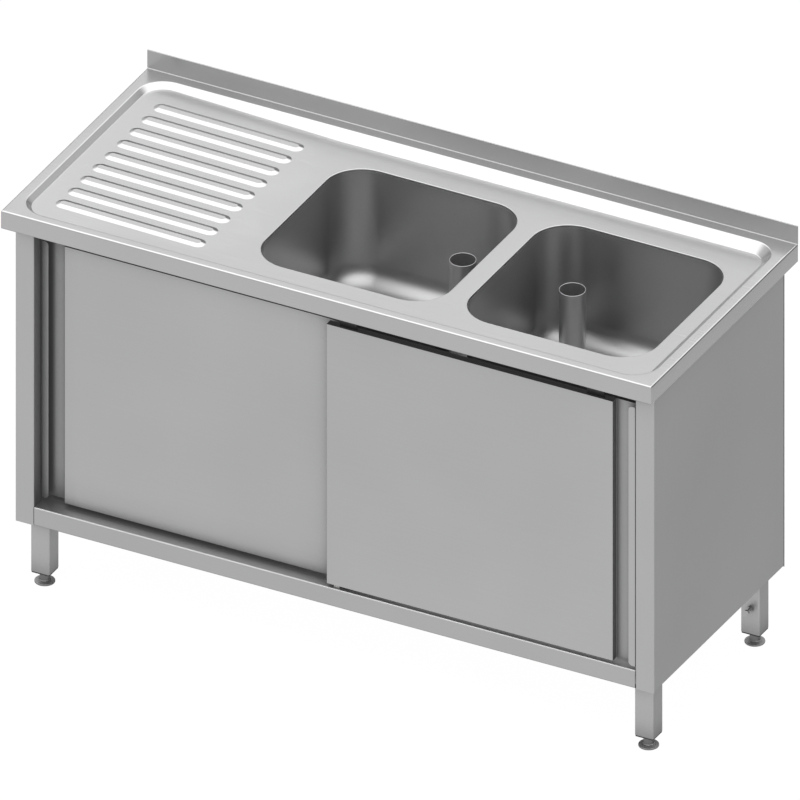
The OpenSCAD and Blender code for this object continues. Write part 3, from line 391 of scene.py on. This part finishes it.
# shared modelling steps
def finishPiece(bm, name, body, look, stands=(), smooth=35):
    bmesh.ops.remove_doubles(bm, verts=bm.verts, dist=touching)
    bmesh.ops.recalc_face_normals(bm, faces=bm.faces)
    for face in bm.faces:
        face.smooth = True
    mesh = bpy.data.meshes.new(name)
    bm.to_mesh(mesh)
    bm.free()
    mesh.set_sharp_from_angle(angle=math.radians(smooth))
    piece = bpy.data.objects.new(name, mesh)
    bpy.context.scene.collection.objects.link(piece)
    mesh.materials.append(finishes[look])
    normals = piece.modifiers.new("evenNormals", "WEIGHTED_NORMAL")
    normals.keep_sharp = True
    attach(piece, body)
    if stands:
        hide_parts(*stands)
    return piece


def thicken(piece, wall):
    solid = piece.modifiers.new("sheet", "SOLIDIFY")
    solid.thickness = wall
    solid.offset = -1
    solid.use_even_offset = True
    # the wall comes before the normals are evened out
    piece.modifiers.move(piece.modifiers.find("sheet"), 0)


def roundedRing(bm, centre, size, radius, z, steps):
    cx, cy = centre
    w, d = size
    signs = ((-1, -1), (1, -1), (1, 1), (-1, 1))
    corners = [bm.verts.new((cx + sx * w / 2, cy + sy * d / 2, z)) for sx, sy in signs]
    first = bm.faces.new(corners)
    kept = set(bm.faces) - {first}
    bmesh.ops.bevel(bm, geom=corners, offset=radius, offset_type="OFFSET", segments=steps,
                    profile=0.5, affect="VERTICES", material=-1)
    face = [f for f in bm.faces if f not in kept][0]
    verts = [loop.vert for loop in face.loops]
    bmesh.ops.delete(bm, geom=[face], context="FACES_ONLY")
    out, corner = [], []
    for v in verts:
        sx = 1 if v.co.x > cx else -1
        sy = 1 if v.co.y > cy else -1
        middle = Vector((cx + sx * (w / 2 - radius), cy + sy * (d / 2 - radius), z))
        out.append((v.co - middle).normalized())
        corner.append(Vector((sx, sy, 0)))
    return {"verts": verts, "out": out, "corner": corner}


def ringEdges(bm, ring):
    verts = ring["verts"]
    return [bm.edges.get((verts[i - 1], verts[i])) for i in range(len(verts))]


def nextRing(bm, ring, outward, up, mitred=False):
    made = bmesh.ops.extrude_edge_only(bm, edges=ringEdges(bm, ring))
    fresh = {g for g in made["geom"] if isinstance(g, bmesh.types.BMVert)}
    verts = []
    for old, out, corner in zip(ring["verts"], ring["out"], ring["corner"]):
        new = next(e.other_vert(old) for e in old.link_edges if e.other_vert(old) in fresh)
        new.co = old.co + (corner if mitred else out) * outward + Vector((0, 0, up))
        verts.append(new)
    return {"verts": verts, "out": ring["out"], "corner": ring["corner"]}


def arcSteps(radius, start, end, steps):
    # small moves (outward, up) along an arc; angles are those of the outward normal above the horizontal
    points = [(radius * math.cos(a), radius * math.sin(a))
              for a in (start + (end - start) * i / steps for i in range(steps + 1))]
    return [(b[0] - a[0], b[1] - a[1]) for a, b in zip(points, points[1:])]


def lathe(bm, profile, centre, steps, closed=False):
    # profile: (radius, height) pairs; spun about an upright axis
    cx, cy, cz = centre
    verts = [bm.verts.new((cx + r, cy, cz + z)) for r, z in profile]
    edges = [bm.edges.new(pair) for pair in zip(verts, verts[1:])]
    if closed:
        edges.append(bm.edges.new((verts[-1], verts[0])))
    bmesh.ops.spin(bm, geom=verts + edges, cent=(cx, cy, 0), axis=(0, 0, 1), dvec=(0, 0, 0),
                   angle=2 * math.pi, steps=steps, use_merge=True, use_duplicate=False)
    bmesh.ops.remove_doubles(bm, verts=bm.verts, dist=0.000005)


def roundCorner(before, corner, after, radius, steps=4):
    # points of a rounded corner in a (radius, height) profile
    a, c, b = Vector(before), Vector(corner), Vector(after)
    u, v = (a - c).normalized(), (b - c).normalized()
    half = u.angle(v) / 2
    reach = radius / math.tan(half)
    middle = c + (u + v).normalized() * (radius / math.sin(half))
    p, q = c + u * reach, c + v * reach
    points = []
    for i in range(steps + 1):
        t = i / steps
        d = (p - middle).normalized().slerp((q - middle).normalized(), t)
        points.append(tuple(middle + d * radius))
    return points


# worktop
topLow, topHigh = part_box("worktop")
worktop = {
    "upstand": 0.040,
    "upstandWall": 0.0024,
    "upstandEdge": 0.0007,
    "cove": 0.0018,
    "sheet": 0.0012,
    "edgeRound": 0.003,
    "cornerRound": 0.0008,
    "footRound": 0.0022,
    "fold": 0.010,
    "pan": (1.356, 0.553),
    "panCentre": (0.0, -0.0035),
    "panRound": 0.055,
    "panDepth": 0.018,
    "panBend": 0.0036,
    "panFoot": 0.0024,
    "drainerRise": 0.008,
    "levelFrom": -0.2585,
    "bowlLip": 0.0012,
    "lipDrop": 0.004,
}
beads = {
    "count": 9,
    "pitch": 0.050,
    "length": 0.320,
    "width": 0.032,
    "top": 0.0125,         # width across the flat top
    "rise": 0.003,
    "left": -0.630,
    "middle": -0.0055,
    "slope": 18,
    "footRound": 0.0015,
}
bowls = {
    "size": 0.400,
    "round": 0.075,
    "depth": 0.250,
    "floorRound": 0.045,
    "wall": 0.001,
    "lap": 0.0002,         # how far the bowl reaches up behind the mouth's edge
    "centres": {"left": (-0.0185, -0.0075), "right": (0.4255, -0.0075)},
}
topZ = topHigh.z - worktop["upstand"]
panZ = topZ - worktop["panDepth"]
drainerSlope = worktop["drainerRise"] / (worktop["levelFrom"] + worktop["pan"][0] / 2)
# from the pan's outline to where its floor is flat
floorInset = worktop["panDepth"] + worktop["panFoot"] * math.tan(quarter / 4) + 2 * touching


def floorHeight(x):
    return panZ + max(0.0, worktop["levelFrom"] - x) * drainerSlope


def panInset(co):
    # how far inside the pan's outline a point lies, and the way out
    cx, cy = worktop["panCentre"]
    w, d = worktop["pan"]
    r = worktop["panRound"]
    px, py = co.x - cx, co.y - cy
    ax, ay = abs(px) - (w / 2 - r), abs(py) - (d / 2 - r)
    sx, sy = math.copysign(1, px), math.copysign(1, py)
    if ax > 0 and ay > 0:
        out = Vector((sx * ax, sy * ay, 0))
        return r - out.length, out.normalized()
    if ax > ay:
        return r - ax, Vector((sx, 0, 0))
    return r - ay, Vector((0, sy, 0))


def addApron(bm):
    # the rounded outer edge, the apron and the fold along its foot; gives the rim's outer edges
    w = worktop
    edge, foot = w["edgeRound"], w["footRound"]
    size = (topHigh.x - topLow.x - 2 * edge, topHigh.y - topLow.y - 2 * edge)
    rimRing = roundedRing(bm, (0, 0), size, w["cornerRound"], topZ, 4)
    ring = rimRing
    for outward, up in arcSteps(edge, quarter, 0, 6):
        ring = nextRing(bm, ring, outward, up, mitred=True)
    straight = topZ - edge - (topLow.z + foot)
    for share in (0.3, 0.7):
        ring = nextRing(bm, ring, 0, -straight * share)
    for outward, up in arcSteps(foot, 0, -quarter, 4):
        ring = nextRing(bm, ring, outward, up, mitred=True)
    nextRing(bm, ring, -(w["fold"] - foot), 0, mitred=True)
    return ringEdges(bm, rimRing)


def addPanWall(bm):
    # at 45 degrees, rounded over at the rim and into the floor; gives the edges at the rim and at the floor
    w = worktop
    half = quarter / 2
    bend, foot = w["panBend"], w["panFoot"]
    reach = bend * math.tan(half / 2)
    size = (w["pan"][0] + 2 * reach, w["pan"][1] + 2 * reach)
    panTop = roundedRing(bm, w["panCentre"], size, w["panRound"] + reach, topZ, 18)
    ring = panTop
    for outward, up in arcSteps(bend, quarter, half, 4):
        ring = nextRing(bm, ring, -outward, up)
    slope = w["panDepth"] - bend * (1 - math.cos(half)) - foot * (1 - math.cos(half))
    for share in (0.5, 0.5):
        ring = nextRing(bm, ring, -slope * share, -slope * share)
    for outward, up in arcSteps(foot, half, quarter, 4):
        ring = nextRing(bm, ring, outward, -up)
    return ringEdges(bm, panTop), ringEdges(bm, ring)


def addBeads(bm):
    # each has a curve at its foot, a straight side and a curve into its flat top, within the given rise and width
    b = beads
    lean = math.radians(b["slope"])
    fall = 1 - math.cos(lean)
    across = (b["width"] - b["top"]) / 2
    footUp, footIn = b["footRound"] * fall, b["footRound"] * math.sin(lean)
    # rise = footUp + sideUp + topRound * fall, across = footIn + sideUp / tan + topRound * sin
    sideUp = ((across - footIn) * fall - (b["rise"] - footUp) * math.sin(lean)) / (
        fall / math.tan(lean) - math.sin(lean))
    topRound = (b["rise"] - footUp - sideUp) / fall
    endRound = b["width"] / 2 * 0.998     # a whisker less, so that each end stays a separate arc
    feet = []
    for i in range(b["count"]):
        centre = (b["left"] + b["length"] / 2, b["middle"] + (i - (b["count"] - 1) / 2) * b["pitch"])
        ring = roundedRing(bm, centre, (b["length"], b["width"]), endRound, panZ, 10)
        feet += ringEdges(bm, ring)
        for outward, up in arcSteps(b["footRound"], quarter, quarter - lean, 3):
            ring = nextRing(bm, ring, -outward, -up)
        ring = nextRing(bm, ring, -sideUp / math.tan(lean), sideUp)
        for outward, up in arcSteps(topRound, quarter - lean, quarter, 5):
            ring = nextRing(bm, ring, outward, up)
        bmesh.ops.edgeloop_fill(bm, edges=ringEdges(bm, ring))
    return feet


def addMouths(bm):
    # at each bowl the sheet rolls over and turns down
    lip = worktop["bowlLip"]
    size = bowls["size"] + 2 * lip
    rims = []
    for centre in bowls["centres"].values():
        ring = roundedRing(bm, centre, (size, size), bowls["round"] + lip, panZ, 16)
        rims += ringEdges(bm, ring)
        for outward, up in arcSteps(lip, quarter, 0, 6):
            ring = nextRing(bm, ring, -outward, up)
        nextRing(bm, ring, 0, -(worktop["lipDrop"] - lip))
    return rims


def tiltDrainer(bm):
    # the crease where the drainer starts, then the drainer's fall
    start, depth = worktop["levelFrom"], worktop["panDepth"]
    margin = 0.0005
    inPan = []
    for face in bm.faces:
        middle = face.calc_center_median()
        if middle.z < topZ - margin and panInset(middle)[0] > margin:
            inPan.append(face)
    edges = dict.fromkeys(e for f in inPan for e in f.edges)
    verts = dict.fromkeys(v for f in inPan for v in f.verts)
    bmesh.ops.bisect_plane(bm, geom=[*inPan, *edges, *verts], plane_co=(start, 0, 0), plane_no=(1, 0, 0),
                           dist=touching)
    for v in bm.verts:
        if v.co.x > start or v.co.z > topZ - touching:
            continue
        inset, out = panInset(v.co)
        if inset <= 0 or v.co.z < panZ - 10 * touching:
            continue
        if inset > floorInset:
            v.co.z += floorHeight(v.co.x) - panZ
            continue
        # on the wall: squeezed between the rim and the risen floor
        old = v.co.copy()
        for _ in range(4):
            share = (topZ - floorHeight(v.co.x)) / depth
            v.co = old + out * inset * (1 - share)
            v.co.z = topZ - (topZ - old.z) * share


def shadeBeads(bm):
    # painted shade: the far side of each bead takes the second, darker steel, standing in for the shade there
    bm.normal_update()
    for face in bm.faces:
        middle = face.calc_center_median()
        onDrainer = middle.x < worktop["levelFrom"] and panInset(middle)[0] > floorInset
        if onDrainer and face.normal.y * face.normal.z > 0.1:
            face.material_index = 1


def makeWorktop():
    bm = bmesh.new()
    rimEdges = addApron(bm)
    panEdges, floorEdges = addPanWall(bm)
    bmesh.ops.triangle_fill(bm, use_beauty=True, use_dissolve=False, edges=rimEdges + panEdges)
    floorEdges += addBeads(bm)
    floorEdges += addMouths(bm)
    bmesh.ops.triangle_fill(bm, use_beauty=True, use_dissolve=False, edges=floorEdges)
    tiltDrainer(bm)
    shadeBeads(bm)
    piece = finishPiece(bm, "worktopSheet", "cabinet", "topSheet", stands=("worktop",), smooth=40)
    piece.data.materials.append(finishes["beadPaintedShade"])
    thicken(piece, worktop["sheet"])


def makeUpstand():
    bm = bmesh.new()
    w = worktop
    y = topHigh.y
    front = y - w["upstandWall"]
    cove = w["cove"]
    low = topZ - w["sheet"]
    spine = [(y, low), (y, topHigh.z), (front, topHigh.z), (front, topZ + cove)]
    verts = [bm.verts.new((topLow.x, py, pz)) for py, pz in spine]
    edges = [bm.edges.new(pair) for pair in zip(verts, verts[1:])]
    swept = bmesh.ops.spin(bm, geom=[verts[-1]], cent=(topLow.x, front - cove, topZ + cove), axis=(1, 0, 0),
                           dvec=(0, 0, 0), angle=-quarter, steps=6, use_duplicate=False)
    last = [g for g in swept["geom_last"] if isinstance(g, bmesh.types.BMVert)][0]
    foot = bm.verts.new((topLow.x, last.co.y, low))
    bm.edges.new((last, foot))
    bm.edges.new((foot, verts[0]))
    section = bmesh.ops.contextual_create(bm, geom=bm.edges[:])["faces"]
    made = bmesh.ops.extrude_face_region(bm, geom=section, use_keep_orig=True)
    moved = [g for g in made["geom"] if isinstance(g, bmesh.types.BMVert)]
    bmesh.ops.translate(bm, vec=(topHigh.x - topLow.x, 0, 0), verts=moved)
    ridge = [e for e in bm.edges if all(abs(v.co.z - topHigh.z) < touching for v in e.verts)]
    bmesh.ops.bevel(bm, geom=ridge, offset=w["upstandEdge"], offset_type="OFFSET", segments=3, profile=0.5,
                    affect="EDGES", material=-1)
    finishPiece(bm, "rearUpstand", "cabinet", "upstandSheet", smooth=40)


makeWorktop()
makeUpstand()
print("worktop made")


# bowls, drains and standpipes
drain = {
    "left": (0.0855, 0.0965),
    "right": (0.3215, 0.0965),
    "hole": 0.0301,
    "flange": 0.043,
    "flangeThick": 0.0025,
    "flangeRound": 0.0014,
    "flangeUnder": 0.0003,
    "seatRadius": 0.028,
    "seatDepth": 0.024,
    "seatSlope": 0.004,
    "seatLip": 0.0012,
    "seatFoot": 0.001,
    "tail": 0.0298,
    "tailWall": 0.005,
    "tailEdge": 0.0004,
    "threadFrom": 0.010,
    "threadEnd": 0.002,
    "threadDepth": 0.001,
    "threadPitch": 0.003,
}
pipe = {
    "radius": 0.026,
    "wall": 0.0015,
    "footEdge": 0.0003,
    "topRound": 0.45,      # as a share of the wall
}
bowlFloor = panZ - bowls["depth"]


def makeBowl(side):
    bm = bmesh.new()
    b = bowls
    start = panZ - worktop["lipDrop"] + b["lap"]
    ring = roundedRing(bm, b["centres"][side], (b["size"], b["size"]), b["round"], start, 16)
    drop = start - bowlFloor - b["floorRound"]
    for share in (0.1, 0.3, 0.3, 0.3):
        ring = nextRing(bm, ring, 0, -drop * share)
    for outward, up in arcSteps(b["floorRound"], 0, -quarter, 14):
        ring = nextRing(bm, ring, outward, up)
    hole = bmesh.ops.create_circle(bm, cap_ends=False, segments=48, radius=drain["hole"],
                                   matrix=Matrix.Translation((*drain[side], bowlFloor)))
    holeEdges = dict.fromkeys(e for v in hole["verts"] for e in v.link_edges)
    bmesh.ops.triangle_fill(bm, use_beauty=True, use_dissolve=False, edges=[*ringEdges(bm, ring), *holeEdges])
    piece = finishPiece(bm, "bowl" + side.capitalize(), "cabinet", "bowlSatin",
                        stands=("bowl_" + side,), smooth=50)
    thicken(piece, b["wall"])


for side in ("left", "right"):
    makeBowl(side)
print("bowls made")


def softened(points, rounds):
    # a closed (radius, height) outline with the given corner radii
    out = []
    for i, (point, radius) in enumerate(zip(points, rounds)):
        if radius:
            out += roundCorner(points[i - 1], point, points[(i + 1) % len(points)], radius)
        else:
            out.append(point)
    return out


def threadPoints(radius, depth, pitch, start, end):
    # ridges of a thread as (radius, height) pairs, going from start to end
    turns = int(abs(end - start) / pitch)
    step = math.copysign(pitch, end - start)
    shape = ((0.1, 0), (0.45, depth), (0.6, depth), (0.95, 0))
    return [(radius - depth + grow, start + (i + share) * step) for i in range(turns) for share, grow in shape]


def makeDrainBody(side):
    low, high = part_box("drain_body_" + side)
    d = drain
    end = low.z - high.z
    bore = d["tail"] - d["tailWall"]
    outline = [(d["seatRadius"], 0.0), (d["flange"], 0.0), (d["flange"], -d["flangeThick"]),
               (d["tail"], -d["flangeThick"]), (d["tail"], -d["threadFrom"])]
    outline += threadPoints(d["tail"], d["threadDepth"], d["threadPitch"], -d["threadFrom"], end + d["threadEnd"])
    outline += [(d["tail"] - d["threadDepth"], end), (bore, end), (bore, -d["seatDepth"] - d["seatSlope"]),
                (d["seatRadius"], -d["seatDepth"])]
    # corner radii: the flange, none on the tail's outside, then the bore's end and the seat
    rounds = [d["seatLip"], d["flangeRound"], d["flangeUnder"]]
    rounds += [0] * (len(outline) - 6) + [d["tailEdge"], d["seatFoot"], d["seatFoot"]]
    bm = bmesh.new()
    lathe(bm, softened(outline, rounds), (*d[side], high.z), steps=72, closed=True)
    finishPiece(bm, "drainBody" + side.capitalize(), "cabinet", "turned",
                stands=("drain_body_" + side,))


def makeStandpipe(side):
    low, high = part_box("standpipe_" + side)
    r, wall, footEdge = pipe["radius"], pipe["wall"], pipe["footEdge"]
    height = high.z - low.z
    outline = [(r, 0.0), (r, height), (r - wall, height), (r - wall, 0.0)]
    topRound = wall * pipe["topRound"]
    rounds = [footEdge, topRound, topRound, footEdge]
    bm = bmesh.new()
    lathe(bm, softened(outline, rounds), (*drain[side], low.z), steps=72, closed=True)
    finishPiece(bm, "standpipe" + side.capitalize(), "standpipe_" + side, "pipeSatin",
                stands=("standpipe_" + side,))


for side in ("left", "right"):
    makeDrainBody(side)
    makeStandpipe(side)
print("drains and standpipes made")


# levelling feet
foot = {
    "radius": 0.020,
    "edge": 0.001,
    "rim": 0.0035,
    "dome": 0.006,
    "domeRound": 0.0025,
    "neck": 0.010,
    "neckTop": 0.023,
    "neckEdge": 0.0008,
    "stem": 0.006,
    "stemTip": 0.001,
    "threadEnd": 0.002,
    "threadPitch": 0.00175,
    "threadDepth": 0.0009,
}


def makeFoot(name):
    low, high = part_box(name)
    centre = ((low.x + high.x) / 2, (low.y + high.y) / 2, low.z)
    top = high.z - low.z
    f = foot
    core = f["stem"] - f["threadDepth"]
    middle, sole, rim = (0.0, 0.0), (f["radius"], 0.0), (f["radius"], f["rim"])
    dome, neckTop = (f["neck"], f["dome"]), (f["neck"], f["neckTop"])
    profile = [middle]
    profile += roundCorner(middle, sole, rim, f["edge"])
    profile += roundCorner(sole, rim, dome, f["edge"])
    profile += roundCorner(rim, dome, neckTop, f["domeRound"])
    profile += roundCorner(dome, neckTop, (f["stem"], f["neckTop"]), f["neckEdge"])
    profile.append((core, f["neckTop"]))
    profile += threadPoints(f["stem"], f["threadDepth"], f["threadPitch"], f["neckTop"], top - f["threadEnd"])
    profile += [(core, top - f["stemTip"]), (core - f["stemTip"], top), (0.0, top)]
    bm = bmesh.new()
    lathe(bm, profile, centre, steps=40)
    finishPiece(bm, name.replace("foot_", "levellingFoot_"), name, "footSteel", stands=(name,))


for name in nodes:
    if name.startswith("foot_"):
        makeFoot(name)
print("feet made")


bpy.context.view_layer.update()
